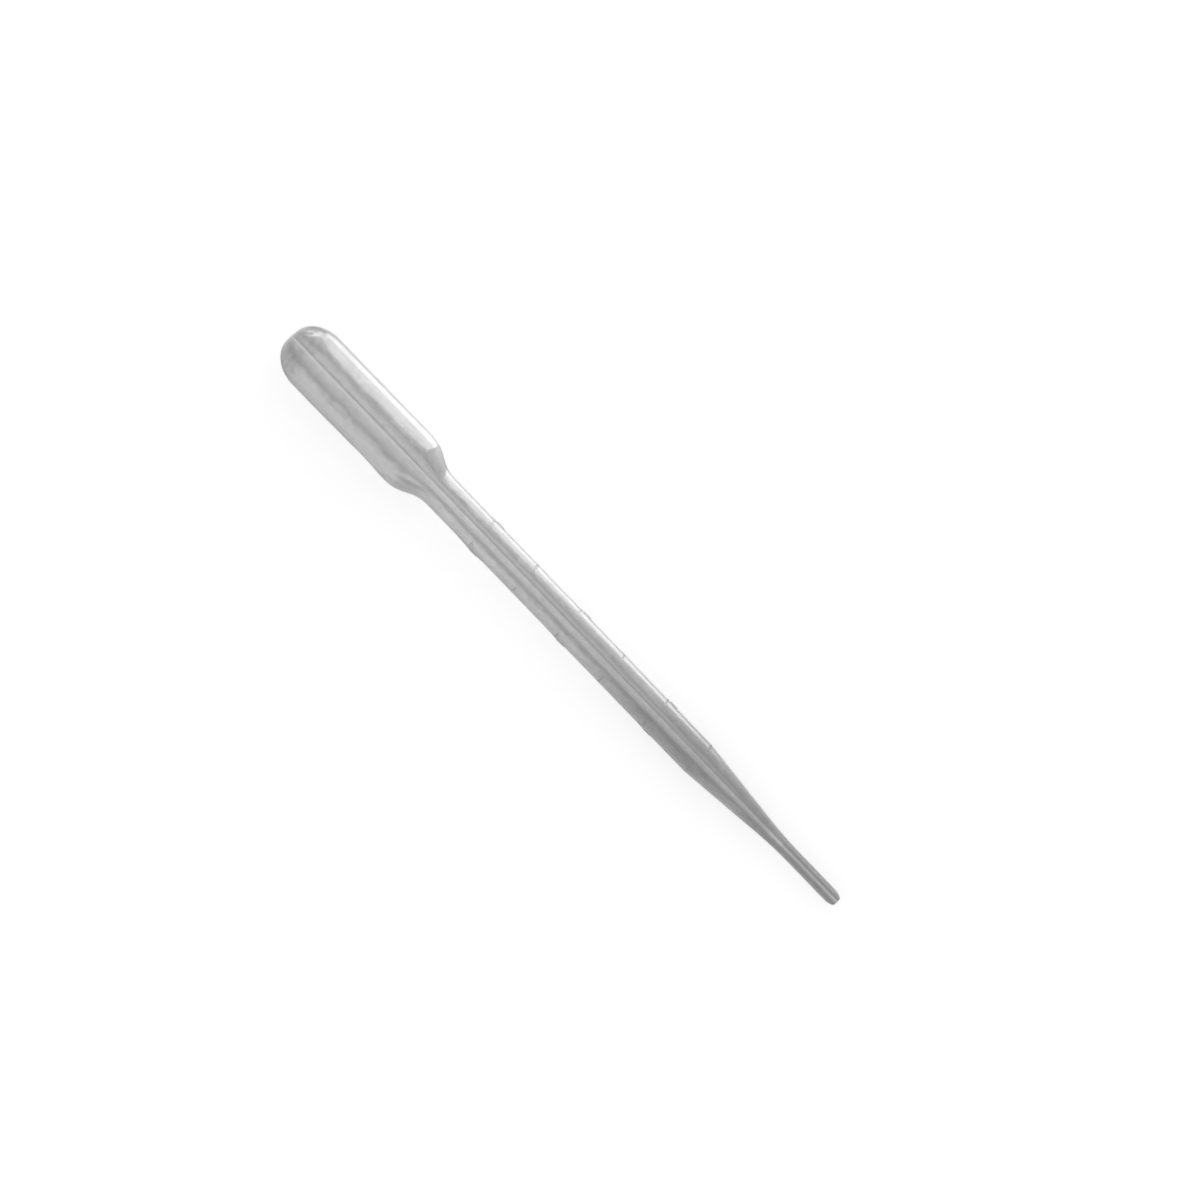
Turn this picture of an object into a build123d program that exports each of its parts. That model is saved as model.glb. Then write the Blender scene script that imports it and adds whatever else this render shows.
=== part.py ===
from build123d import *
from math import acos, atan2, cos, degrees, floor, hypot, pi, radians, sin, tan
import os

# Plastic dropper pipette: a squeeze bulb, a graduated stem, a taper and a slim
# tip, blow moulded in one piece and open only at the tip.
# Sizes are in millimetres, angles in degrees and volumes in cubic millimetres.
# Along the pipette, x runs from the closed end of the bulb to the open tip.

# Outside
overall_length = 160.0
bulb_length = 36.6          # closed end to the corner of the shoulder
bulb_diameter = 13.4
stem_diameter = 7.8
tip_diameter = 3.1
slim_tip_length = 17.0      # corner below the taper to the open end
shoulder_angle = 29.5       # slope of the shoulder to the axis
taper_angle = 5.6           # slope of the taper to the axis

# Blends between those stretches
shoulder_radius = 9.7
neck_radius = 9.3
taper_start_radius = 45.0
taper_end_radius = 94.0

# Closed end of the bulb: a small flat rounded off into the bulb's side
dome_length = 7.2
dome_flat_diameter = 2.3

# Walls and bore. The closed end is as thick as the stem.
bulb_wall = 0.4
stem_wall = 0.36
bore_diameter = 1.6

# Open end: rounded down to a narrow rim around the bore
nose_length = 1.9
rim_width = 0.1

# Raised parting line with a flat top, one on top and one underneath. It narrows
# along the taper to its width on the slim tip.
seam_width = 1.2
seam_tip_width = 0.5
seam_height = 0.08

# Raised graduation marks, on both sides between the parting lines
mark_volume = 500.0         # held by the stem from one mark to the next
first_mark_from_tip = 40.8
mark_width = 0.5
mark_height = 0.07
mark_arc = 100.0            # how far each mark runs around the stem

# Derived radii and stations along the axis
bulb_radius = bulb_diameter / 2
stem_radius = stem_diameter / 2
tip_radius = tip_diameter / 2
bore_radius = bore_diameter / 2
dome_flat_radius = dome_flat_diameter / 2
rim_radius = bore_radius + rim_width
nose_start = overall_length - nose_length
neck_corner = bulb_length + (bulb_radius - stem_radius) / tan(radians(shoulder_angle))
slim_corner = overall_length - slim_tip_length
taper_corner = slim_corner - (stem_radius - tip_radius) / tan(radians(taper_angle))
shoulder_setback = tan(radians(shoulder_angle / 2))
taper_setback = tan(radians(taper_angle / 2))
neck_end = neck_corner + neck_radius * shoulder_setback

# Marks are one volume step of the stem's bore apart, and as many as the stem holds
mark_pitch = mark_volume / (pi * (stem_radius - stem_wall) ** 2)
first_mark = overall_length - first_mark_from_tip
mark_count = floor((first_mark - neck_end) / mark_pitch) + 1
mark_stations = [first_mark - step * mark_pitch for step in range(mark_count)]

# Resting pose: the pipette lies on its lower parting line, which touches the
# ground on the shoulder's arc and on the arc where the taper starts. The
# ground is the common tangent of those two arcs, so the axis is tilted to it.
shoulder_arc_x = bulb_length - shoulder_radius * shoulder_setback
shoulder_arc_r = bulb_radius - shoulder_radius
taper_arc_x = taper_corner - taper_start_radius * taper_setback
taper_arc_r = stem_radius - taper_start_radius
span_x = taper_arc_x - shoulder_arc_x
span_r = shoulder_arc_r - taper_arc_r
radius_step = taper_start_radius - shoulder_radius
tilt = acos(radius_step / hypot(span_x, span_r)) - atan2(span_x, span_r)
bulb_end_height = (
    shoulder_arc_x * sin(tilt)
    + shoulder_arc_r * cos(tilt)
    + shoulder_radius
    + seam_height
)

# The axis passes above the origin at mid length and dips towards the tip
bulb_end = Vector(-overall_length / 2 * cos(tilt), 0, bulb_end_height)
towards_tip = Vector(cos(tilt), 0, -sin(tilt))
pipette_axis = Axis(bulb_end, towards_tip)


def axis_plane(turn):
    """Plane through the axis, turned about it from upright; its y leads away from the axis."""
    facing = Vector(0, -1, 0).rotate(pipette_axis, turn)
    return Plane(bulb_end, x_dir=towards_tip, z_dir=facing)


def draw_wall_line(bulb_r, stem_r, tip_r, depth, end_x):
    """Draw a half outline from the closed end to end_x, `depth` inside the skin."""
    shoulder_shift = depth * shoulder_setback
    taper_shift = depth * taper_setback
    Line((depth, 0), (depth, dome_flat_radius))
    EllipticalCenterArc(
        (dome_length, dome_flat_radius),
        dome_length - depth,
        bulb_r - dome_flat_radius,
        start_angle=90,
        arc_size=90,
    )
    FilletPolyline(
        (dome_length, bulb_r),
        (bulb_length - shoulder_shift, bulb_r),
        (neck_corner - shoulder_shift, stem_r),
        (taper_corner - taper_shift, stem_r),
        (slim_corner - taper_shift, tip_r),
        (end_x, tip_r),
        radius=[
            shoulder_radius - depth,
            neck_radius + depth,
            taper_start_radius - depth,
            taper_end_radius + depth,
        ],
    )


def draw_raised_outline(height):
    """Close a half outline that stands `height` proud of the skin, up to the nose."""
    draw_wall_line(
        bulb_radius + height,
        stem_radius + height,
        tip_radius + height,
        -height,
        nose_start,
    )
    Polyline((nose_start, tip_radius + height), (nose_start, 0), (-height, 0))


with BuildPart() as seam:
    # A slab over the whole side outline, ending at the rounded nose
    with BuildSketch(axis_plane(0)):
        with BuildLine():
            draw_raised_outline(seam_height)
        make_face()
        mirror(about=Plane.XZ)
    extrude(amount=seam_width / 2, both=True)
    # The slab is trimmed to the width that the parting line has along the pipette
    with BuildSketch(axis_plane(90)):
        with BuildLine():
            Polyline(
                (-seam_height, 0),
                (-seam_height, seam_width / 2),
                (taper_corner, seam_width / 2),
                (slim_corner, seam_tip_width / 2),
                (nose_start, seam_tip_width / 2),
                (nose_start, 0),
                close=True,
            )
        make_face()
        mirror(about=Plane.XZ)
    extrude(amount=bulb_diameter, both=True, mode=Mode.INTERSECT)


with BuildPart() as pipette:
    # Outer shape, solid at first
    with BuildSketch(axis_plane(0)):
        with BuildLine():
            draw_wall_line(bulb_radius, stem_radius, tip_radius, 0, nose_start)
            EllipticalCenterArc(
                (nose_start, rim_radius),
                nose_length,
                tip_radius - rim_radius,
                start_angle=0,
                arc_size=90,
            )
            Polyline((overall_length, rim_radius), (overall_length, 0), (0, 0))
        make_face()
    revolve(axis=pipette_axis)
    add(seam.part)

    # Graduation marks, short raised arcs centred on each side, that follow the outline
    for side in (90, 270):
        with BuildSketch(axis_plane(side - mark_arc / 2)):
            with Locations(*[(mark_x, 0) for mark_x in mark_stations]):
                Rectangle(mark_width, bulb_diameter, align=(Align.CENTER, Align.MIN))
            with BuildLine():
                draw_raised_outline(mark_height)
            make_face(mode=Mode.INTERSECT)
        revolve(axis=pipette_axis, revolution_arc=mark_arc)

    # Inside of the bulb, stem, taper and tip
    with BuildSketch(axis_plane(0)):
        with BuildLine():
            draw_wall_line(
                bulb_radius - bulb_wall,
                stem_radius - stem_wall,
                bore_radius,
                stem_wall,
                overall_length,
            )
            Polyline((overall_length, bore_radius), (overall_length, 0), (stem_wall, 0))
        make_face()
    revolve(axis=pipette_axis, mode=Mode.SUBTRACT)

pipette.part.label = "pipette"

os.makedirs("parts", exist_ok=True)
export_step(pipette.part, "parts/pipette.step")

print(f"tilt {degrees(tilt):.3f} degrees, {mark_count} marks {mark_pitch:.2f} mm apart")
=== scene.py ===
import bmesh
import bpy
from math import acos, atan2, ceil, copysign, cos, hypot, pi, radians, sin, sqrt, tan
from mathutils import Euler, Matrix, Vector


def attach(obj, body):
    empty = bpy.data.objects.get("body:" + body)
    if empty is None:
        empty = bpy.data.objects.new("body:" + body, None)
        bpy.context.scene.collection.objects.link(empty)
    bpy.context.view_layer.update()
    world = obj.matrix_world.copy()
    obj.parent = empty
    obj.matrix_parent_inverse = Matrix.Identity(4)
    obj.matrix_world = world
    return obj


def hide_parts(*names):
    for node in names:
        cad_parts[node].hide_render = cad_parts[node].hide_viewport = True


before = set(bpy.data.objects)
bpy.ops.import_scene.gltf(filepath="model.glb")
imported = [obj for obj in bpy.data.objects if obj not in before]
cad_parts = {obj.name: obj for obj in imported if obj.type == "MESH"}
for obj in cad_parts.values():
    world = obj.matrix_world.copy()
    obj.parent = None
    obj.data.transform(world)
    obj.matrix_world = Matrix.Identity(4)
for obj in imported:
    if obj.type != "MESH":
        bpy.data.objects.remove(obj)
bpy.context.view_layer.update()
mm = 0.001
print("frame loaded:", sorted(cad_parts))

# The pipette, in millimetres, with x from the closed end of the bulb to the open tip
pipette = {
    "length": 160.0,
    "bulbLength": 36.6,
    "bulbRadius": 6.7,
    "stemRadius": 3.9,
    "tipRadius": 1.55,
    "slimTipLength": 17.0,
    "shoulderAngle": 29.5,
    "taperAngle": 5.6,
    "shoulderBlend": 9.7,
    "neckBlend": 9.3,
    "taperStartBlend": 45.0,
    "taperEndBlend": 94.0,
    "domeLength": 7.2,
    "domeFlat": 1.15,
    "bulbWall": 0.4,
    "stemWall": 0.36,
    "boreRadius": 0.8,
    "noseLength": 1.9,
    "nosePower": 1.5,        # 2 is an ellipse, less is more pointed
    "rimRadius": 0.86,
    "steps": 120,            # faces round the pipette
    "domeSteps": 22,
    "innerDomeSteps": 16,
    "noseSteps": 12,
    "ringGap": 0.6,          # along the outside
    "boreRingGap": 1.2,      # along the inside
    "mergeGap": 0.004,       # points closer than this become one
    "skinMargin": 0.05,      # faces this close to the bore don't count as outside
}

# The parting line left where the two halves of the mould met
partingLine = {
    "halfWidth": 0.6,
    "tipHalfWidth": 0.25,
    "landHeight": 0.045,
    "beadHeight": 0.035,     # of the thin bead on top of the land
    "beadShare": 0.4,        # of the land's width
    "cutGap": 0.001,         # points this close to a cut lie on it
}

# Raised lines on both sides, one for each half millilitre
graduations = {
    "first": 40.8,           # from the tip
    "volume": 500.0,         # cubic millimetres from line to line
    "width": 0.5,
    "height": 0.07,
    "halfArc": 50.0,         # degrees each way round from the side
    "crest": 0.55,           # share of the width that the top keeps
    # painted shade on the raised lines and numbers, where their edges break the highlight
    "paintedShadeAndGlint": 0.74,
}

# Raised numbers on both sides, each beside its line on the side towards the tip
volumeNumbers = {
    "labels": {"1": 1, "2": 3, "3": 5},     # number, and its line, where 0 is the line nearest the tip
    "size": 3.0,
    "halfDigit": 0.35,       # half a digit's height, as a share of the size
    "gap": 0.7,              # from the line
    "height": 0.1,
    "root": 0.12,            # how far it reaches into the wall
    "block": 1.0,            # half depth of the block that it is cut from
}

neckCorner = pipette["bulbLength"] + (pipette["bulbRadius"] - pipette["stemRadius"]) / tan(
    radians(pipette["shoulderAngle"])
)
slimCorner = pipette["length"] - pipette["slimTipLength"]
taperCorner = slimCorner - (pipette["stemRadius"] - pipette["tipRadius"]) / tan(
    radians(pipette["taperAngle"])
)
noseStart = pipette["length"] - pipette["noseLength"]
shoulderTurn = tan(radians(pipette["shoulderAngle"] / 2))
taperTurn = tan(radians(pipette["taperAngle"] / 2))

linePitch = graduations["volume"] / (pi * (pipette["stemRadius"] - pipette["stemWall"]) ** 2)
firstLine = pipette["length"] - graduations["first"]
neckEnd = neckCorner + pipette["neckBlend"] * shoulderTurn
lineCount = int((firstLine - neckEnd) / linePitch) + 1
lineStations = [firstLine - step * linePitch for step in range(lineCount)]

# How far it dips towards the tip, lying on the parting line at the shoulder and at the taper's start
shoulderArcX = pipette["bulbLength"] - pipette["shoulderBlend"] * shoulderTurn
shoulderArcR = pipette["bulbRadius"] - pipette["shoulderBlend"]
spanX = taperCorner - pipette["taperStartBlend"] * taperTurn - shoulderArcX
spanR = shoulderArcR - (pipette["stemRadius"] - pipette["taperStartBlend"])
blendStep = pipette["taperStartBlend"] - pipette["shoulderBlend"]
tilt = acos(blendStep / hypot(spanX, spanR)) - atan2(spanX, spanR)


def blendedRadius(x, corners):
    # corners are (x, radius, blend) along a half outline, with straight runs between the blends
    for before, corner, after in zip(corners, corners[1:], corners[2:]):
        slopeIn = atan2(corner[1] - before[1], corner[0] - before[0])
        slopeOut = atan2(after[1] - corner[1], after[0] - corner[0])
        side = copysign(1.0, slopeOut - slopeIn)
        setback = corner[2] * tan(abs(slopeOut - slopeIn) / 2)
        arcStart = corner[0] - setback * cos(slopeIn)
        arcEnd = corner[0] + setback * cos(slopeOut)
        if arcStart < x < arcEnd:
            centreX = arcStart - side * corner[2] * sin(slopeIn)
            centreR = corner[1] - setback * sin(slopeIn) + side * corner[2] * cos(slopeIn)
            return centreR - side * sqrt(corner[2] ** 2 - (x - centreX) ** 2)
    for before, after in zip(corners, corners[1:]):
        if x <= after[0]:
            break
    share = (x - before[0]) / (after[0] - before[0])
    return before[1] + share * (after[1] - before[1])


def wallCorners(bulb, stem, tip, depth):
    shoulderShift = depth * shoulderTurn
    taperShift = depth * taperTurn
    return [
        (pipette["domeLength"], bulb, 0.0),
        (pipette["bulbLength"] - shoulderShift, bulb, pipette["shoulderBlend"] - depth),
        (neckCorner - shoulderShift, stem, pipette["neckBlend"] + depth),
        (taperCorner - taperShift, stem, pipette["taperStartBlend"] - depth),
        (slimCorner - taperShift, tip, pipette["taperEndBlend"] + depth),
        (pipette["length"], tip, 0.0),
    ]


skinCorners = wallCorners(pipette["bulbRadius"], pipette["stemRadius"], pipette["tipRadius"], 0.0)
boreCorners = wallCorners(
    pipette["bulbRadius"] - pipette["bulbWall"],
    pipette["stemRadius"] - pipette["stemWall"],
    pipette["boreRadius"],
    pipette["stemWall"],
)


def domePoints(bulb, depth, steps):
    # the rounded closed end, from its small flat to the side of the bulb
    points = []
    for step in range(steps + 1):
        turn = pi / 2 * step / steps
        x = pipette["domeLength"] - (pipette["domeLength"] - depth) * cos(turn)
        points.append((x, pipette["domeFlat"] + (bulb - pipette["domeFlat"]) * sin(turn)))
    return points


def nosePoints(steps):
    # the rounded end of the tip, down to the rim of the bore
    points = []
    for step in range(1, steps + 1):
        share = sin(pi / 2 * step / steps)
        rise = (1 - share ** pipette["nosePower"]) ** (1 / pipette["nosePower"])
        r = pipette["rimRadius"] + (pipette["tipRadius"] - pipette["rimRadius"]) * rise
        points.append((noseStart + pipette["noseLength"] * share, r))
    return points


def evenStations(stops, gap):
    stations = []
    for start, end in zip(stops, stops[1:]):
        count = ceil((end - start) / gap)
        stations += [start + (end - start) * (step + 1) / count for step in range(count)]
    return stations


def halfOutline():
    # down the outside from the closed end, round the rim, and back up the inside
    halfLine = graduations["width"] / 2
    edges = [x + half for x in lineStations for half in (-halfLine, halfLine)]
    outside = evenStations([pipette["domeLength"], *sorted(edges), noseStart], pipette["ringGap"])
    inside = evenStations([pipette["domeLength"], pipette["length"]], pipette["boreRingGap"])
    points = [(0.0, 0.0), *domePoints(pipette["bulbRadius"], 0.0, pipette["domeSteps"])]
    points += [(x, blendedRadius(x, skinCorners)) for x in outside]
    points += nosePoints(pipette["noseSteps"])
    points += [(x, blendedRadius(x, boreCorners)) for x in reversed(inside)]
    innerBulb = pipette["bulbRadius"] - pipette["bulbWall"]
    points += reversed(domePoints(innerBulb, pipette["stemWall"], pipette["innerDomeSteps"]))
    points.append((pipette["stemWall"], 0.0))
    return points


def deselectAll():
    bpy.ops.object.select_all(action="DESELECT")


def drawLine(name, points, facing):
    # a plane merged to one vertex, which is then extruded from point to point
    deselectAll()
    bpy.ops.mesh.primitive_plane_add(size=1.0)
    piece = bpy.context.object
    piece.name = name
    piece.data.name = name
    bpy.ops.object.mode_set(mode="EDIT")
    bpy.ops.mesh.merge(type="CENTER")
    bpy.ops.mesh.select_mode(type="VERT")
    bpy.ops.mesh.select_all(action="SELECT")
    here = Vector((0.0, 0.0, 0.0))
    for number, (x, r) in enumerate(points):
        there = Vector((x, 0.0, 0.0)) + r * facing
        if number == 0:
            bpy.ops.transform.translate(value=there - here)
        else:
            bpy.ops.mesh.extrude_region_move(TRANSFORM_OT_translate={"value": there - here})
        here = there
    return piece


def closeSpin():
    # all the way round the axis, and joined up
    bpy.ops.mesh.select_all(action="SELECT")
    bpy.ops.mesh.spin(
        steps=pipette["steps"], angle=2 * pi, center=(0.0, 0.0, 0.0), axis=(1.0, 0.0, 0.0)
    )
    bpy.ops.mesh.select_all(action="SELECT")
    bpy.ops.mesh.remove_doubles(threshold=pipette["mergeGap"])
    bpy.ops.mesh.normals_make_consistent(inside=False)
    bpy.ops.mesh.select_mode(type="FACE")


def selectFaces(piece, wanted):
    mesh = bmesh.from_edit_mesh(piece.data)
    for face in mesh.faces:
        face.select_set(wanted(face.calc_center_median(), face.normal))
    bmesh.update_edit_mesh(piece.data)


def facePlaces(piece):
    return [face.calc_center_median() for face in bmesh.from_edit_mesh(piece.data).faces]


def onSkin(place, normal):
    # outside faces look away from the axis or, on the closed end, from the middle of the dome
    outwards = normal.y * place.y + normal.z * place.z
    if place.x < pipette["domeLength"]:
        return normal.x * (place.x - pipette["domeLength"]) + outwards > 0
    return outwards > 0 and hypot(place.y, place.z) > pipette["boreRadius"] + pipette["skinMargin"]


def partingHalfWidth(x):
    share = min(max((x - taperCorner) / (slimCorner - taperCorner), 0.0), 1.0)
    return partingLine["halfWidth"] + share * (partingLine["tipHalfWidth"] - partingLine["halfWidth"])


def onGraduation(place, normal, x):
    onLine = abs(place.x - x) < graduations["width"] / 2
    fromSide = abs(atan2(place.z, abs(place.y)))
    return onLine and onSkin(place, normal) and fromSide < radians(graduations["halfArc"])


def combine(piece, other, operation):
    # a boolean that uses the other piece up
    deselectAll()
    piece.select_set(True)
    bpy.context.view_layer.objects.active = piece
    bpy.ops.object.modifier_add(type="BOOLEAN")
    boolean = piece.modifiers[-1]
    boolean.operation = operation
    boolean.solver = "EXACT"
    boolean.object = other
    bpy.ops.object.modifier_apply(modifier=boolean.name)
    deselectAll()
    other.select_set(True)
    bpy.ops.object.delete()


# The whole moulding, outside and inside in one skin, with the parting line along the middle of a face
faceAngle = 2 * pi / pipette["steps"]
outlineFacing = Vector((0.0, sin(faceAngle / 2), cos(faceAngle / 2)))
moulding = drawLine("mouldedPipette", halfOutline(), outlineFacing)
closeSpin()
print("outline spun")

# The parting line narrows along the taper: a low land, and a thin bead along its middle
beforeEnd = -1.0             # the first stretch takes in the whole closed end
stretches = [(beforeEnd, taperCorner), (taperCorner, slimCorner), (slimCorner, noseStart)]
layers = [(1.0, partingLine["landHeight"]), (partingLine["beadShare"], partingLine["beadHeight"])]
for widthShare, height in layers:
    for start, end in stretches:
        fall = (partingHalfWidth(end) - partingHalfWidth(start)) / (end - start)
        for side in (-widthShare, widthShare):
            selectFaces(
                moulding,
                lambda place, normal: onSkin(place, normal)
                and start < place.x < end
                and abs(place.y - side * partingHalfWidth(place.x)) < partingLine["halfWidth"],
            )
            bpy.ops.mesh.bisect(
                plane_co=(start, side * partingHalfWidth(start), 0.0),
                plane_no=Vector((-side * fall, 1.0, 0.0)).normalized(),
                threshold=partingLine["cutGap"],
            )
    selectFaces(
        moulding,
        lambda place, normal: onSkin(place, normal)
        and place.x < noseStart
        and abs(place.y) < widthShare * partingHalfWidth(place.x),
    )
    bpy.ops.mesh.extrude_region_shrink_fatten(TRANSFORM_OT_shrink_fatten={"value": height})
print("parting line raised")

for x in lineStations:
    selectFaces(moulding, lambda place, normal: onGraduation(place, normal, x))
    bpy.ops.mesh.extrude_region_shrink_fatten(
        TRANSFORM_OT_shrink_fatten={"value": graduations["height"]}
    )
    bpy.ops.transform.resize(value=(graduations["crest"], 1.0, 1.0), center_override=(x, 0.0, 0.0))
bpy.ops.object.mode_set(mode="OBJECT")
print("graduations raised:", len(lineStations), "on each side")

# The numbers are cut from a thin sleeve round the stem, so that they follow its curve
numbers = []
for label, line in volumeNumbers["labels"].items():
    x = lineStations[line] + volumeNumbers["gap"] + volumeNumbers["size"] * volumeNumbers["halfDigit"]
    for side in (-1.0, 1.0):
        deselectAll()
        # the number's own right, top and front, with its top towards the bulb
        facing = Matrix(((0.0, 0.0, -side), (-1.0, 0.0, 0.0), (0.0, side, 0.0))).transposed()
        bpy.ops.object.text_add(
            location=(x, side * pipette["stemRadius"], 0.0), rotation=facing.to_euler()
        )
        number = bpy.context.object
        number.data.body = label
        number.data.size = volumeNumbers["size"]
        number.data.align_x = "CENTER"
        number.data.align_y = "CENTER"
        number.data.extrude = volumeNumbers["block"]
        bpy.ops.object.convert(target="MESH")
        bpy.ops.object.transform_apply(location=True, rotation=True, scale=True)
        numbers.append(number)
deselectAll()
for number in numbers:
    number.select_set(True)
bpy.context.view_layer.objects.active = numbers[0]
bpy.ops.object.join()
allNumbers = bpy.context.object

inner = pipette["stemRadius"] - volumeNumbers["root"]
outer = pipette["stemRadius"] + volumeNumbers["height"]
sleeveOutline = [
    (neckCorner, inner), (firstLine, inner), (firstLine, outer), (neckCorner, outer), (neckCorner, inner)
]
sleeve = drawLine("numberSleeve", sleeveOutline, outlineFacing)
closeSpin()
bpy.ops.object.mode_set(mode="OBJECT")
combine(allNumbers, sleeve, "INTERSECT")
print("numbers cut:", len(allNumbers.data.polygons), "faces")
combine(moulding, allNumbers, "UNION")
print("numbers raised:", len(moulding.data.polygons), "faces")

# A small welt beside the parting line, near the closed end, painted paler as a glint
weltMark = {
    "place": (6.7, 0.72, 6.51),
    "radii": (0.75, 0.28, 0.25),
    "segments": 24,
    "rings": 12,
    # painted glint: the welt is made paler than the wall
    "paintedShadeAndGlint": 1.35,
    "glintAlong": 1.0,      # each way from its middle
    "glintAcross": (0.5, 1.2),
    "proud": 0.02,           # what stands out less keeps the shade of the wall
}
deselectAll()
bpy.ops.mesh.primitive_uv_sphere_add(
    segments=weltMark["segments"], ring_count=weltMark["rings"], radius=1.0, location=weltMark["place"]
)
welt = bpy.context.object
welt.scale = weltMark["radii"]
bpy.ops.object.transform_apply(location=True, rotation=True, scale=True)
combine(moulding, welt, "UNION")
print("welt added")


def paintedShadeAndGlintAt(x, y, z):
    # painted shade makes the raised lines and numbers darker than the wall, and a painted glint makes the
    # welt paler
    standsOut = hypot(y, z) - blendedRadius(x, skinCorners)
    lastShaded = firstLine + 2 * graduations["width"]
    if neckCorner < x < lastShaded and abs(y) > 2 * partingLine["halfWidth"]:
        share = min(max(standsOut / graduations["height"], 0.0), 1.0)
        return 1.0 + (graduations["paintedShadeAndGlint"] - 1) * share
    nearWelt = z > 0 and abs(x - weltMark["place"][0]) < weltMark["glintAlong"]
    left, right = weltMark["glintAcross"]
    if nearWelt and left < y < right and standsOut > weltMark["proud"]:
        return weltMark["paintedShadeAndGlint"]
    return 1.0


# The material reads the painted shade and glint of each point
paintedShadesAndGlints = moulding.data.attributes.new("paintedShadeAndGlint", "FLOAT", "POINT")
for vertex in moulding.data.vertices:
    paintedShadesAndGlints.data[vertex.index].value = paintedShadeAndGlintAt(*vertex.co)

# Where the soft plastic has sunk in or swollen a little: place, shift and reach
softSpots = [
    ((28.6, -6.7, 0.0), (0.0, 0.12, 0.0), 4.0),
    ((24.0, -6.7, 0.0), (0.0, 0.13, 0.0), 9.0),
    ((2.5, 4.1, 3.3), (0.14, -0.08, -0.10), 1.7),
    ((3.6, 5.2, 2.9), (-0.03, 0.03, 0.03), 1.1),
    ((4.6, -2.6, 5.4), (0.08, 0.05, -0.12), 2.2),
    ((56.4, -3.9, 0.0), (0.0, -0.13, 0.0), 4.0),
    ((82.0, -3.9, 0.0), (0.0, -0.06, 0.0), 3.5),
]
grabbed = 0.4                # faces up to this much further off than the nearest one are moved with it
bpy.context.view_layer.objects.active = moulding
bpy.ops.object.mode_set(mode="EDIT")
for spot, shift, reach in softSpots:
    middle = Vector(spot)
    nearest = min((place - middle).length for place in facePlaces(moulding))
    selectFaces(moulding, lambda place, normal: (place - middle).length < nearest + grabbed)
    bpy.ops.transform.translate(
        value=shift,
        use_proportional_edit=True,
        proportional_edit_falloff="SMOOTH",
        proportional_size=reach,
    )
bpy.ops.object.mode_set(mode="OBJECT")
print("soft spots shaped:", len(softSpots))

# Into place: the axis passes above the origin at mid length and dips towards the tip
axisHeight = shoulderArcX * sin(tilt) + shoulderArcR * cos(tilt) + pipette["shoulderBlend"]
axisHeight += partingLine["landHeight"] + partingLine["beadHeight"]
bulbEnd = mm * Vector((-pipette["length"] / 2 * cos(tilt), 0.0, axisHeight))
moulding.rotation_euler = (0.0, tilt, 0.0)
moulding.scale = (mm, mm, mm)
moulding.location = bulbEnd
deselectAll()
moulding.select_set(True)
bpy.context.view_layer.objects.active = moulding
bpy.ops.object.transform_apply(location=True, rotation=True, scale=True)
bpy.ops.object.shade_smooth_by_angle(angle=radians(30))
print("mesh:", len(moulding.data.polygons), "faces")


def newMaterial(name):
    material = bpy.data.materials.new(name)
    material.use_nodes = True
    material.node_tree.nodes.clear()
    return material


def addNode(tree, kind, place, **values):
    node = tree.nodes.new(kind)
    node.location = place
    for name, value in values.items():
        setattr(node, name, value)
    return node


def plug(tree, socket, value):
    if isinstance(value, bpy.types.NodeSocket):
        tree.links.new(value, socket)
    else:
        socket.default_value = value


def addMath(tree, place, operation, first, second=0.0, clamp=False):
    node = addNode(tree, "ShaderNodeMath", place, operation=operation, use_clamp=clamp)
    plug(tree, node.inputs[0], first)
    plug(tree, node.inputs[1], second)
    return node.outputs[0]


def addRange(tree, place, value, source, target, smooth=False):
    # value runs over source and comes out over target
    node = addNode(tree, "ShaderNodeMapRange", place)
    node.interpolation_type = "SMOOTHSTEP" if smooth else "LINEAR"
    plug(tree, node.inputs["Value"], value)
    node.inputs["From Min"].default_value, node.inputs["From Max"].default_value = source
    node.inputs["To Min"].default_value, node.inputs["To Max"].default_value = target
    return node.outputs["Result"]


def addCurve(tree, place, value, points):
    # points are (value in, value out), both over 0 to 1
    node = addNode(tree, "ShaderNodeFloatCurve", place)
    curve = node.mapping.curves[0]
    curve.points[0].location, curve.points[1].location = points[0], points[-1]
    for point in points[1:-1]:
        curve.points.new(*point)
    node.mapping.update()
    plug(tree, node.inputs["Value"], value)
    return node.outputs["Value"]


def addNoise(tree, place, vector, stretch, look):
    # look is (scale, detail, roughness)
    stretched = addNode(tree, "ShaderNodeMapping", (place[0] - 200, place[1]))
    stretched.inputs["Scale"].default_value = stretch
    tree.links.new(vector, stretched.inputs["Vector"])
    noise = addNode(tree, "ShaderNodeTexNoise", place)
    tree.links.new(stretched.outputs["Vector"], noise.inputs["Vector"])
    for name, value in zip(("Scale", "Detail", "Roughness"), look):
        noise.inputs[name].default_value = value
    return noise.outputs["Fac"]


def addSwing(tree, place, noise, middle, reach, spread=0.25):
    # the noise comes out round middle, by reach each way
    return addRange(tree, place, noise, (0.5 - spread, 0.5 + spread), (middle - reach, middle + reach))


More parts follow.
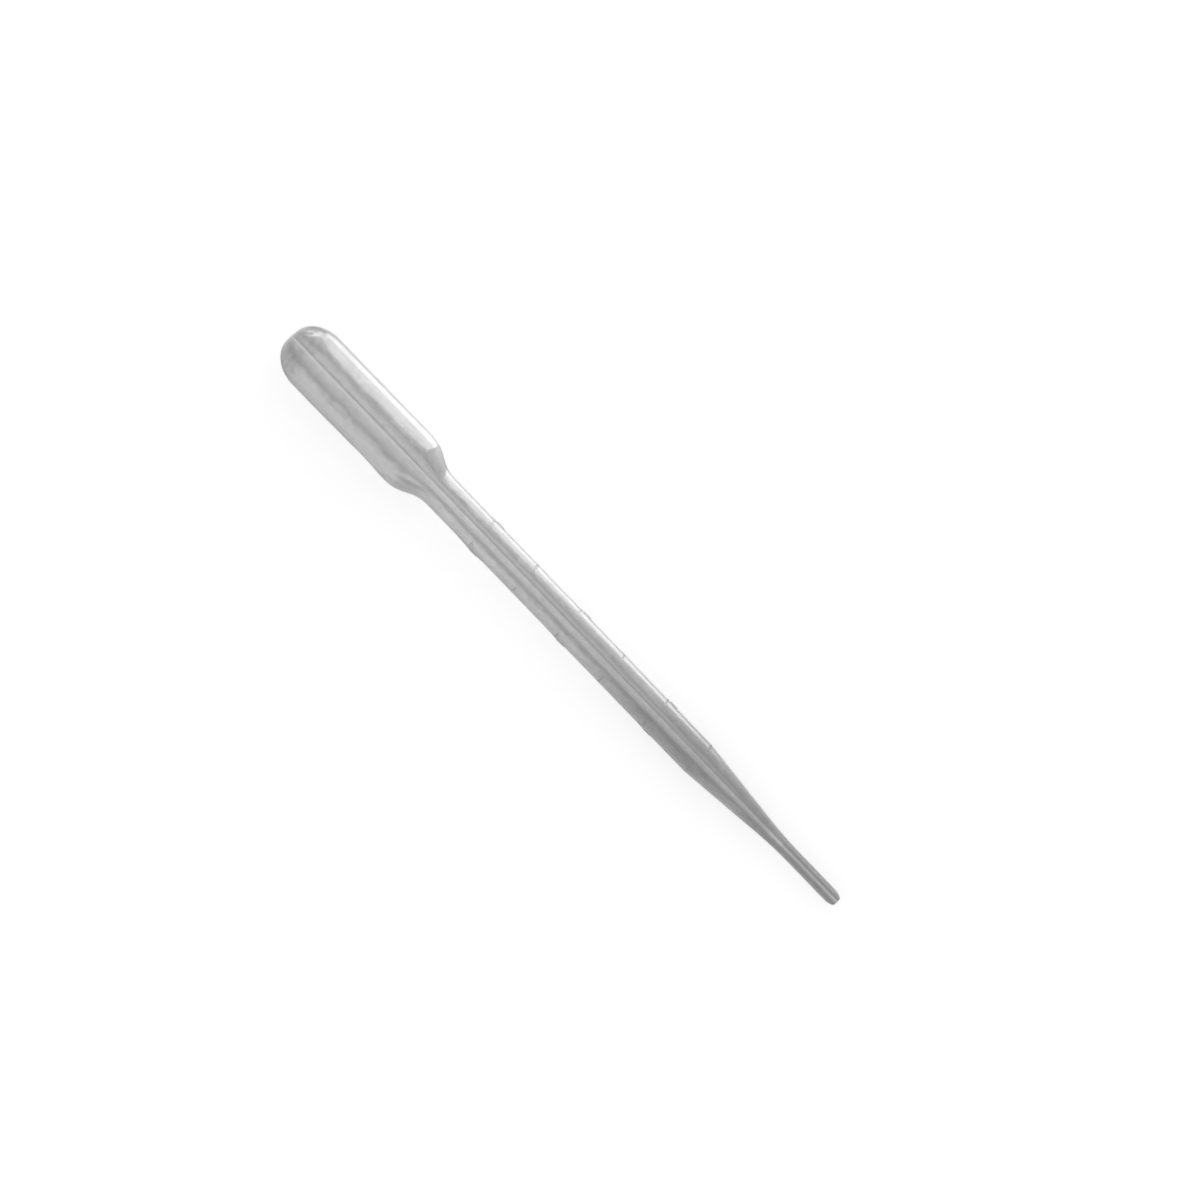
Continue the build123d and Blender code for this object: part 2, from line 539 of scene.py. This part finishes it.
# Milky soft plastic
milkyPlastic = {
    "grey": 0.885,
    # share of that grey along the pipette: painted shade, darker towards the tip, further from the lamps
    "lengthwise": [(0.0, 1.0), (0.2, 1.0), (0.4, 0.96), (0.6, 0.92), (0.75, 0.88), (0.9, 0.82),
                   (1.0, 0.83)],
    "transmission": 0.8,
    "ior": 1.51,
    "roughness": 0.22,
    "dullRoughness": 0.4,    # where the skin has lost its gloss
    "coat": 1.0,
    "dullCoat": 0.1,
    "coatRoughness": 0.12,
    "absorbed": 0.07,        # in each millimetre of plastic that light goes through
    "depthGrey": 0.5,
    # tone against the angle from the parting line to the side: streaks, with painted shade in a dark band
    # near the top and darker towards the side
    "streaks": [(0.0, 0.94), (0.1, 0.98), (0.17, 0.92), (0.24, 0.78), (0.32, 0.89), (0.5, 1.0),
                (0.62, 0.98), (0.72, 0.87), (0.86, 0.72), (1.0, 0.62)],
    "streakWander": 0.07,
    "fineWander": 0.06,
    "mottle": 0.12,
    "patches": 0.05,
    "waveStretch": (0.2, 0.7, 0.7),
    "waveLook": (1.0, 4.0, 0.6),     # scale, detail and roughness
    "mottleLook": (0.9, 5.0, 0.7),
    "rippleStrength": 0.25,
    "rippleHeight": 0.2,
    "sideFade": 0.5,         # how soon a mark that keeps to one side fades in
    "awayFade": (0.5, -0.8),         # where the side away from the lamps starts
    "farRim": (0.7, 0.88),           # where on that side the gloss ends
    "markedMatt": 0.6,       # how dull the raised lines and numbers are
}

plastic = newMaterial("milkyPlastic")
tree = plastic.node_tree
output = addNode(tree, "ShaderNodeOutputMaterial", (1200, 0))
shader = addNode(tree, "ShaderNodeBsdfPrincipled", (900, 0))
shader.inputs["Transmission Weight"].default_value = milkyPlastic["transmission"]
shader.inputs["IOR"].default_value = milkyPlastic["ior"]
shader.inputs["Coat Roughness"].default_value = milkyPlastic["coatRoughness"]
tree.links.new(shader.outputs["BSDF"], output.inputs["Surface"])
depthGrey = milkyPlastic["depthGrey"]
depth = addNode(tree, "ShaderNodeVolumeAbsorption", (900, -500))
depth.inputs["Color"].default_value = (depthGrey, depthGrey, depthGrey, 1.0)
depth.inputs["Density"].default_value = milkyPlastic["absorbed"] / mm / (1 - depthGrey)
tree.links.new(depth.outputs["Volume"], output.inputs["Volume"])

# Millimetres from the closed end, along the axis, to the side with the lamps, and up
coordinates = addNode(tree, "ShaderNodeTexCoord", (-1700, 0))
alongAxis = addNode(tree, "ShaderNodeMapping", (-1500, 0), vector_type="TEXTURE")
alongAxis.inputs["Location"].default_value = bulbEnd
alongAxis.inputs["Rotation"].default_value = (0.0, tilt, 0.0)
alongAxis.inputs["Scale"].default_value = (mm, mm, mm)
tree.links.new(coordinates.outputs["Object"], alongAxis.inputs["Vector"])
fromEnd = alongAxis.outputs["Vector"]
position = addNode(tree, "ShaderNodeSeparateXYZ", (-1300, 0))
tree.links.new(fromEnd, position.inputs["Vector"])
along = position.outputs["X"]
across = position.outputs["Y"]
lengthShare = addMath(tree, (-900, 400), "DIVIDE", along, pipette["length"])
acrossSide = addMath(tree, (-1100, 200), "ABSOLUTE", across)
acrossUp = addMath(tree, (-1100, 50), "ABSOLUTE", position.outputs["Z"])
sideAngle = addMath(tree, (-900, 150), "ARCTAN2", acrossSide, acrossUp)
# 0 at the parting line, 1 at the side
sideShare = addMath(tree, (-750, 150), "DIVIDE", sideAngle, pi / 2)
nearLamps = addRange(tree, (-900, 0), across, (0.0, milkyPlastic["sideFade"]), (0.0, 1.0))
offLamps = addRange(tree, (-900, -100), across, (0.0, -milkyPlastic["sideFade"]), (0.0, 1.0))
awaySide = addRange(tree, (-700, -1600), across, milkyPlastic["awayFade"], (0.0, 1.0), smooth=True)

# Slow waves that run along the pipette, and a fine mottle
waves = addNoise(tree, (-1100, -300), fromEnd, milkyPlastic["waveStretch"], milkyPlastic["waveLook"])
mottle = addNoise(tree, (-1100, -600), fromEnd, (1.0, 1.0, 1.0), milkyPlastic["mottleLook"])
patch = addSwing(tree, (-900, -500), waves, 1.0, milkyPlastic["patches"])
speckle = addSwing(tree, (-900, -600), mottle, 1.0, milkyPlastic["mottle"])

# Streaks of thicker and thinner wall, by the angle from the parting line, together with painted shade: a
# dark band near the top and darker sides
slowWander = addSwing(tree, (-900, -300), waves, 0.0, milkyPlastic["streakWander"])
fineWander = addSwing(tree, (-900, -750), mottle, 0.0, milkyPlastic["fineWander"])
wander = addMath(tree, (-750, -300), "ADD", slowWander, fineWander)
wanderingShare = addMath(tree, (-600, 150), "ADD", sideShare, wander, clamp=True)
streakAndShade = addCurve(tree, (-450, 150), wanderingShare, milkyPlastic["streaks"])
# painted shade along the pipette, darker towards the tip
lengthShadeTone = addCurve(tree, (-750, 400), lengthShare, milkyPlastic["lengthwise"])

# The bead on the parting line is paler, partly as whiter plastic and partly as a painted highlight, with
# painted shade in the hollow beside it
paleLine = {
    "tipHalfWidth": 0.45,
    "evenUntil": 0.12,
    # how far it lies to one side, along the pipette
    "drift": [(0.0, 0.2), (0.04, 0.12), (0.07, 0.08), (0.13, 0.08), (0.2, 0.11), (0.5, 0.14),
              (0.9, 0.18), (1.0, 0.18)],
    # half its tone from side to side, over two half widths each way
    "halfTone": [(0.0, 0.5), (0.14, 0.53), (0.29, 0.545), (0.37, 0.605), (0.5, 0.61), (0.555, 0.42),
                 (0.64, 0.43), (0.78, 0.5), (1.0, 0.5)],
    "crest": [(0.0, 0.0), (0.29, 0.0), (0.37, 1.0), (0.5, 1.0), (0.555, 0.0), (1.0, 0.0)],
    # how much more painted highlight the crest gets on the bulb
    "crestHighlightOnBulb": [(0.0, 0.3), (0.06, 0.3), (0.13, 0.22), (0.19, 0.13), (0.22, 0.0), (1.0, 0.0)],
}
halfWidth = addCurve(tree, (-1100, 700), lengthShare, [
    (0.0, partingLine["halfWidth"]),
    (paleLine["evenUntil"], partingLine["halfWidth"]),
    (taperCorner / pipette["length"], partingLine["halfWidth"]),
    (slimCorner / pipette["length"], paleLine["tipHalfWidth"]),
    (1.0, paleLine["tipHalfWidth"]),
])
drift = addCurve(tree, (-1100, 850), lengthShare, paleLine["drift"])
fromLine = addMath(tree, (-1000, 750), "SUBTRACT", across, drift)
halfWidthsOff = addMath(tree, (-900, 700), "DIVIDE", fromLine, halfWidth)
overLine = addRange(tree, (-750, 700), halfWidthsOff, (-2.0, 2.0), (0.0, 1.0))
halfTone = addCurve(tree, (-600, 700), overLine, paleLine["halfTone"])
lineTone = addMath(tree, (-400, 700), "MULTIPLY", halfTone, 2.0)
crest = addCurve(tree, (-600, 500), overLine, paleLine["crest"])
crestHighlightOnBulb = addCurve(tree, (-600, 300), lengthShare, paleLine["crestHighlightOnBulb"])
bulbCrestHighlight = addMath(tree, (-400, 500), "MULTIPLY", crest, crestHighlightOnBulb)
lineTone = addMath(tree, (-200, 700), "ADD", lineTone, bulbCrestHighlight)

# On the side with the lamps the shoulder is dull between two slanting edges, and painted darker there as
# shade where the lamps' highlight leaves it
dullShadedShoulder = {
    "start": 36.2,
    "startSlant": (-1.3, 0.7),       # from the parting line to the side
    "startFade": 0.3,
    "end": 41.6,
    "endSlant": (0.6, -0.25),
    "endAcross": (2.4, 3.8),         # where across the shoulder that slant lies
    "endFade": 0.45,
    "fadeIn": (0.08, 0.56),          # share of the way to the side
    # how much darker as painted shade, against the same share
    "depth": [(0.0, 0.0), (0.2, 0.03), (0.3, 0.05), (0.4, 0.17), (0.5, 0.28), (0.62, 0.28),
              (0.76, 0.09), (1.0, 0.09)],
}
startAcross = (0.0, pipette["bulbRadius"])
startSlant = addRange(tree, (-1100, 1000), across, startAcross, dullShadedShoulder["startSlant"])
pastStart = addMath(tree, (-900, 1000), "SUBTRACT", along, startSlant)
pastStart = addMath(tree, (-800, 1000), "SUBTRACT", pastStart, dullShadedShoulder["start"])
startFade = (-dullShadedShoulder["startFade"], dullShadedShoulder["startFade"])
enter = addRange(tree, (-700, 1100), pastStart, startFade, (0.0, 1.0), smooth=True)
endSlant = addRange(tree, (-1100, 900), across, dullShadedShoulder["endAcross"], dullShadedShoulder["endSlant"])
pastEnd = addMath(tree, (-900, 900), "SUBTRACT", along, endSlant)
pastEnd = addMath(tree, (-800, 900), "SUBTRACT", pastEnd, dullShadedShoulder["end"])
endFade = (-dullShadedShoulder["endFade"], dullShadedShoulder["endFade"])
leave = addRange(tree, (-700, 950), pastEnd, endFade, (1.0, 0.0), smooth=True)
shoulder = addMath(tree, (-500, 1000), "MULTIPLY", enter, leave)
fadeIn = addRange(tree, (-700, 800), sideShare, dullShadedShoulder["fadeIn"], (0.0, 1.0), smooth=True)
fadeIn = addMath(tree, (-500, 800), "MULTIPLY", fadeIn, nearLamps)
shoulder = addMath(tree, (-300, 1100), "MULTIPLY", shoulder, fadeIn)
shoulderShadeDepth = addCurve(tree, (-500, 1150), sideShare, dullShadedShoulder["depth"])
shoulderShadeDepth = addMath(tree, (-300, 1000), "MULTIPLY", shoulder, shoulderShadeDepth)
shoulderShadeTone = addMath(tree, (-200, 1000), "SUBTRACT", 1.0, shoulderShadeDepth)

# On the other side, the painted light and shade of a fold run round it
shoulderFoldShade = {
    "depth": 0.55,
    "along": [(0.0, 0.0), (0.215, 0.0), (0.226, 0.8), (0.234, 1.0), (0.252, 0.8), (0.27, 0.0),
              (1.0, 0.0)],
    # round from the parting line: painted light below plain, painted shade above
    "round": [(0.0, 0.4), (0.22, 0.4), (0.27, 0.0), (0.32, 0.0), (0.36, 0.3), (0.42, 0.85), (0.48, 0.8),
              (0.54, 0.6), (0.61, 0.75), (0.7, 0.85), (0.85, 0.7), (1.0, 0.4)],
    "plain": 0.4,
}
foldAlong = addCurve(tree, (-1100, 3200), lengthShare, shoulderFoldShade["along"])
foldRound = addCurve(tree, (-1100, 3400), sideShare, shoulderFoldShade["round"])
foldRound = addMath(tree, (-900, 3400), "SUBTRACT", foldRound, shoulderFoldShade["plain"])
foldShade = addMath(tree, (-900, 3200), "MULTIPLY", foldAlong, foldRound)
foldShade = addMath(tree, (-700, 3200), "MULTIPLY", foldShade, offLamps)
foldShade = addMath(tree, (-600, 3200), "MULTIPLY", foldShade, shoulderFoldShade["depth"])

# Along the taper, a darker band on the side with the lamps, and a pale patch where the bore starts
taperLook = {
    "bandDepth": 0.12,
    "bandAlong": [(0.0, 0.0), (0.64, 0.0), (0.7, 0.8), (0.8, 1.0), (0.86, 0.9), (0.89, 0.0), (1.0, 0.0)],
    "bandRound": [(0.0, 0.0), (0.2, 0.3), (0.34, 1.0), (0.48, 0.9), (0.7, 0.1), (1.0, 0.0)],
    "borePale": 0.16,
    "boreAlong": [(0.0, 0.0), (0.86, 0.0), (0.878, 0.8), (0.89, 1.0), (0.9, 0.4), (0.93, 0.0),
                  (1.0, 0.0)],
    "boreAcross": (0.2, 0.9),
}
bandAlong = addCurve(tree, (-1100, 2200), lengthShare, taperLook["bandAlong"])
bandRound = addCurve(tree, (-1100, 2400), sideShare, taperLook["bandRound"])
band = addMath(tree, (-900, 2200), "MULTIPLY", bandAlong, bandRound)
band = addMath(tree, (-800, 2200), "MULTIPLY", band, nearLamps)
band = addMath(tree, (-700, 2200), "MULTIPLY", band, taperLook["bandDepth"])
# the fold's painted light and shade join the taper's band here
darker = addMath(tree, (-600, 2400), "ADD", band, foldShade)
boreAlong = addCurve(tree, (-1100, 2800), lengthShare, taperLook["boreAlong"])
boreAcross = addRange(
    tree, (-1100, 3000), acrossSide, taperLook["boreAcross"], (taperLook["borePale"], 0.0), smooth=True
)
borePale = addMath(tree, (-900, 2800), "MULTIPLY", boreAlong, boreAcross)
bandTone = addMath(tree, (-700, 2800), "SUBTRACT", borePale, darker)
bandTone = addMath(tree, (-500, 2800), "ADD", bandTone, 1.0)

# Painted shade: towards the tip the side away from the lamps is darker, and so are both edges of the slim
# tip
tipShade = {
    "along": [(0.0, 0.0), (0.5, 0.0), (0.72, 1.0), (0.78, 0.85), (0.84, 0.45), (0.92, 0.6), (1.0, 0.8)],
    "depth": 0.25,
    "reach": 4.0,            # in half widths of the pale line
    "edgeDepth": 0.26,
    "edgeStart": 15.0,       # before the slim tip
    "edgeRound": (0.36, 0.68),
    "farEdge": 1.8,          # times that on the side away from the lamps
    "farFade": 0.4,
}
awayAlong = addCurve(tree, (-1100, 1300), lengthShare, tipShade["along"])
away = addRange(
    tree, (-900, 1300), halfWidthsOff, (0.0, -tipShade["reach"]), (0.0, tipShade["depth"]), smooth=True
)
away = addMath(tree, (-700, 1300), "MULTIPLY", awayAlong, away)
slimFrom = (slimCorner - tipShade["edgeStart"], slimCorner)
onTip = addRange(tree, (-900, 1450), along, slimFrom, (0.0, 1.0), smooth=True)
tipEdge = addRange(
    tree, (-900, 1550), sideShare, tipShade["edgeRound"], (0.0, tipShade["edgeDepth"]), smooth=True
)
tipEdge = addMath(tree, (-700, 1450), "MULTIPLY", onTip, tipEdge)
farFade = (tipShade["farFade"], -tipShade["farFade"])
farEdge = addRange(tree, (-900, 1700), across, farFade, (1.0, tipShade["farEdge"]))
tipEdge = addMath(tree, (-600, 1500), "MULTIPLY", tipEdge, farEdge)
away = addMath(tree, (-600, 1350), "ADD", away, tipEdge)
tipTone = addMath(tree, (-500, 1300), "SUBTRACT", 1.0, away)

# The closed end has streaks round it, painted shade along its rim and on the side away from the lamps with
# a wavy edge, and dull spots painted darker as shade
closedEnd = {
    "tone": 0.92,
    "streaks": 0.10,
    "streakStretch": (1.6, 0.35, 0.35),
    "streakLook": (1.0, 3.0, 0.5),
    "streakSpread": 0.15,
    "fadeOut": (3.0, 8.2),           # along the pipette
    "wavyEdge": (2.8, 7.2),
    "waveSpread": 0.2,
    "edgeFade": (-1.0, 0.8),
    "outward": (0.1, 0.5),           # deeper from the parting line outwards
    "outwardDepth": (0.3, 1.3),
    "rimShadeDepth": 0.55,
    "rimHeight": (0.2, 3.2),
    # dull spots, also painted darker as shade: middle, and how far they reach
    "dullSpots": [((4.1, 5.25, 2.9), 0.95), ((2.3, 3.1, 3.9), 0.8), ((1.7, 2.5, 3.9), 0.7)],
    "spotCore": 0.4,                 # share of the reach that is fully dull
    "spotShadeTone": 0.82,
}
streakNoise = addNoise(
    tree, (-1100, -900), fromEnd, closedEnd["streakStretch"], closedEnd["streakLook"]
)
onDome = addRange(tree, (-1100, -1150), along, closedEnd["fadeOut"], (1.0, 0.0), smooth=True)
domeTone = addSwing(
    tree, (-900, -900), streakNoise, closedEnd["tone"] - 1, closedEnd["streaks"], closedEnd["streakSpread"]
)
domeTone = addMath(tree, (-700, -900), "MULTIPLY", domeTone, onDome)
domeTone = addMath(tree, (-500, -900), "ADD", domeTone, 1.0)
edgeSource = (0.5 - closedEnd["waveSpread"], 0.5 + closedEnd["waveSpread"])
wavyEdge = addRange(tree, (-1100, -1400), waves, edgeSource, closedEnd["wavyEdge"])
domeAwayShade = addMath(tree, (-900, -1400), "SUBTRACT", wavyEdge, along)
domeAwayShade = addRange(
    tree, (-700, -1400), domeAwayShade, closedEnd["edgeFade"], (0.0, 1 - closedEnd["tone"]), smooth=True
)
domeAwayShade = addMath(tree, (-500, -1400), "MULTIPLY", domeAwayShade, awaySide)
outward = addRange(
    tree, (-700, -1300), sideShare, closedEnd["outward"], closedEnd["outwardDepth"], smooth=True
)
domeAwayShade = addMath(tree, (-500, -1300), "MULTIPLY", domeAwayShade, outward)
domeTone = addMath(tree, (-300, -1100), "SUBTRACT", domeTone, domeAwayShade)
domeRim = addRange(tree, (-700, -1800), acrossUp, closedEnd["rimHeight"], (1.0, 0.0), smooth=True)
domeRim = addMath(tree, (-500, -1800), "MULTIPLY", domeRim, onDome)
rimShadeTone = addMath(tree, (-400, -1800), "MULTIPLY", domeRim, closedEnd["rimShadeDepth"])
rimShadeTone = addMath(tree, (-300, -1800), "SUBTRACT", 1.0, rimShadeTone)
spots = 0.0
for index, (spotMiddle, spotReach) in enumerate(closedEnd["dullSpots"]):
    level = 3800 + index * 200
    fromSpot = addNode(tree, "ShaderNodeVectorMath", (-1100, level), operation="DISTANCE")
    tree.links.new(fromEnd, fromSpot.inputs[0])
    fromSpot.inputs[1].default_value = spotMiddle
    spotEdge = (closedEnd["spotCore"] * spotReach, spotReach)
    dullSpot = addRange(tree, (-900, level), fromSpot.outputs["Value"], spotEdge, (1.0, 0.0), smooth=True)
    spots = addMath(tree, (-700, level), "MAXIMUM", spots, dullSpot)
spotShadeTone = addRange(tree, (300, 2200), spots, (0.0, 1.0), (1.0, closedEnd["spotShadeTone"]))

# The shoulder, the rim away from the lamps, the raised marks and the dull spots have less gloss
paintedShadeAndGlint = addNode(
    tree, "ShaderNodeAttribute", (-1100, 1600), attribute_type="GEOMETRY", attribute_name="paintedShadeAndGlint"
)
farRim = addRange(tree, (-300, 2000), sideShare, milkyPlastic["farRim"], (0.0, 1.0), smooth=True)
farRim = addMath(tree, (-100, 2000), "MAXIMUM", farRim, domeRim)
farRim = addMath(tree, (0, 2000), "MULTIPLY", farRim, awaySide)
marked = addRange(
    tree, (-100, 1800), paintedShadeAndGlint.outputs["Fac"], (1.0, graduations["paintedShadeAndGlint"]), (0.0, milkyPlastic["markedMatt"])
)
matt = addMath(tree, (100, 2000), "MAXIMUM", shoulder, farRim)
matt = addMath(tree, (200, 2000), "MAXIMUM", matt, marked)
matt = addMath(tree, (300, 2000), "MAXIMUM", matt, spots)
gloss = (milkyPlastic["coat"], milkyPlastic["dullCoat"])
tree.links.new(addRange(tree, (600, 0), matt, (0.0, 1.0), gloss), shader.inputs["Coat Weight"])
rough = (milkyPlastic["roughness"], milkyPlastic["dullRoughness"])
tree.links.new(addRange(tree, (600, -150), matt, (0.0, 1.0), rough), shader.inputs["Roughness"])

# the tone multiplies in the painted shade, highlights and glint worked out above
tone = addMath(tree, (-200, 300), "MULTIPLY", streakAndShade, speckle)
otherTones = [patch, paintedShadeAndGlint.outputs["Fac"], shoulderShadeTone, tipTone, domeTone, lengthShadeTone, lineTone, rimShadeTone,
              bandTone, spotShadeTone]
for index, otherTone in enumerate(otherTones):
    tone = addMath(tree, (-100 + index * 50, 400 + index * 150), "MULTIPLY", tone, otherTone)
tone = addMath(tree, (450, 300), "MULTIPLY", tone, milkyPlastic["grey"], clamp=True)
grey = addNode(tree, "ShaderNodeCombineColor", (600, 300))
for socket in ("Red", "Green", "Blue"):
    tree.links.new(tone, grey.inputs[socket])
tree.links.new(grey.outputs["Color"], shader.inputs["Base Color"])

ripple = addNode(tree, "ShaderNodeBump", (600, -300))
ripple.inputs["Strength"].default_value = milkyPlastic["rippleStrength"]
ripple.inputs["Distance"].default_value = milkyPlastic["rippleHeight"] * mm
tree.links.new(waves, ripple.inputs["Height"])
tree.links.new(ripple.outputs["Normal"], shader.inputs["Normal"])
moulding.data.materials.append(plastic)
print("plastic made:", len(tree.nodes), "nodes")

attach(moulding, "root")
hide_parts("pipette")

# Floor and air look white wherever they are seen, and light the pipette less than that
studio = {
    "floorSize": 6.0,
    "floorParts": 8,
    "floorGrey": 0.8,
    "floorGlow": 0.62,       # added where the floor is seen, so that it comes out white
    "air": 0.5,              # light from all round
}


def addSeen(tree, place):
    # one for rays that see the surroundings, zero for those that only gather light
    left, level = place
    rays = addNode(tree, "ShaderNodeLightPath", place)
    seen = addMath(
        tree, (left + 200, level), "ADD", rays.outputs["Is Camera Ray"], rays.outputs["Is Glossy Ray"]
    )
    return addMath(
        tree, (left + 400, level), "ADD", seen, rays.outputs["Is Transmission Ray"], clamp=True
    )


deselectAll()
bpy.ops.mesh.primitive_grid_add(
    x_subdivisions=studio["floorParts"], y_subdivisions=studio["floorParts"], size=studio["floorSize"]
)
floor = bpy.context.object
floor.name = "floor"
floorPaint = newMaterial("whiteFloor")
tree = floorPaint.node_tree
output = addNode(tree, "ShaderNodeOutputMaterial", (600, 0))
paint = addNode(tree, "ShaderNodeBsdfDiffuse", (0, 100))
paint.inputs["Color"].default_value = (studio["floorGrey"], studio["floorGrey"], studio["floorGrey"], 1.0)
glow = addNode(tree, "ShaderNodeEmission", (0, -100))
glowLevel = addMath(tree, (-200, -100), "MULTIPLY", addSeen(tree, (-800, 0)), studio["floorGlow"])
tree.links.new(glowLevel, glow.inputs["Strength"])
both = addNode(tree, "ShaderNodeAddShader", (300, 0))
tree.links.new(paint.outputs[0], both.inputs[0])
tree.links.new(glow.outputs[0], both.inputs[1])
tree.links.new(both.outputs[0], output.inputs["Surface"])
floor.data.materials.append(floorPaint)

world = bpy.data.worlds.new("studioAir")
bpy.context.scene.world = world
world.use_nodes = True
tree = world.node_tree
tree.nodes.clear()
output = addNode(tree, "ShaderNodeOutputWorld", (600, 0))
air = addNode(tree, "ShaderNodeBackground", (400, 0))
air.inputs["Color"].default_value = (1.0, 1.0, 1.0, 1.0)
airLevel = addRange(tree, (0, 0), addSeen(tree, (-700, 0)), (0.0, 1.0), (studio["air"], 1.0))
tree.links.new(airLevel, air.inputs["Strength"])
tree.links.new(air.outputs[0], output.inputs["Surface"])

# A soft lamp low beside the bulb, turned on its corner so that it fades out along the stem,
# and a light pad lying in front of it
softLamp = {
    "place": (-0.058, 0.10, 0.010),
    "shape": "SQUARE",
    "size": (0.099, 0.099),
    "facing": (-90.0, 0.0, 0.0),
    "corner": 45.0,
    "power": 0.045,
}
lightPad = {
    "place": (-0.0525, 0.0349, 0.0005),
    "shape": "ELLIPSE",
    "size": (0.2, 0.04),
    "facing": (180.0, 0.0, 0.0),
    "corner": 8.5,
    "power": 0.042,
}


def addLamp(name, values):
    # the corner turns the lamp in its own plane, before it is turned to face the pipette
    deselectAll()
    bpy.ops.object.light_add(type="AREA", location=values["place"])
    lamp = bpy.context.object
    lamp.name = name
    facing = Euler([radians(angle) for angle in values["facing"]]).to_quaternion()
    corner = Euler((0.0, 0.0, radians(values["corner"]))).to_quaternion()
    lamp.rotation_euler = (facing @ corner).to_euler()
    lamp.data.shape = values["shape"]
    lamp.data.size, lamp.data.size_y = values["size"]
    lamp.data.energy = values["power"]
    lamp.visible_camera = False


addLamp("softLamp", softLamp)
addLamp("lightPad", lightPad)
print("floor, air and lamps set")

# Camera straight above, with the pipette running down to the right
view = {
    "width": 244.1,          # millimetres across the picture, at the height of the pipette's axis
    "turn": 46.065,
    "offset": (7.25, 3.91),  # of the picture's middle from the pipette's, right and up
    "distance": 3.0,
    "sensor": 36.0,
    "farEnd": 20.0,
}
deselectAll()
turn = radians(view["turn"])
right = Vector((cos(turn), sin(turn), 0.0))
up = Vector((-sin(turn), cos(turn), 0.0))
target = bulbEnd + mm * pipette["length"] / 2 * Vector((cos(tilt), 0.0, -sin(tilt)))
target += mm * (view["offset"][0] * right + view["offset"][1] * up)
above = target + Vector((0.0, 0.0, view["distance"]))
bpy.ops.object.camera_add(location=above, rotation=(0.0, 0.0, turn))
camera = bpy.context.object
camera.data.sensor_width = view["sensor"]
camera.data.lens = camera.data.sensor_width * view["distance"] / (view["width"] * mm)
camera.data.clip_end = view["farEnd"]
bpy.context.scene.camera = camera
bpy.context.scene.view_settings.view_transform = "Standard"
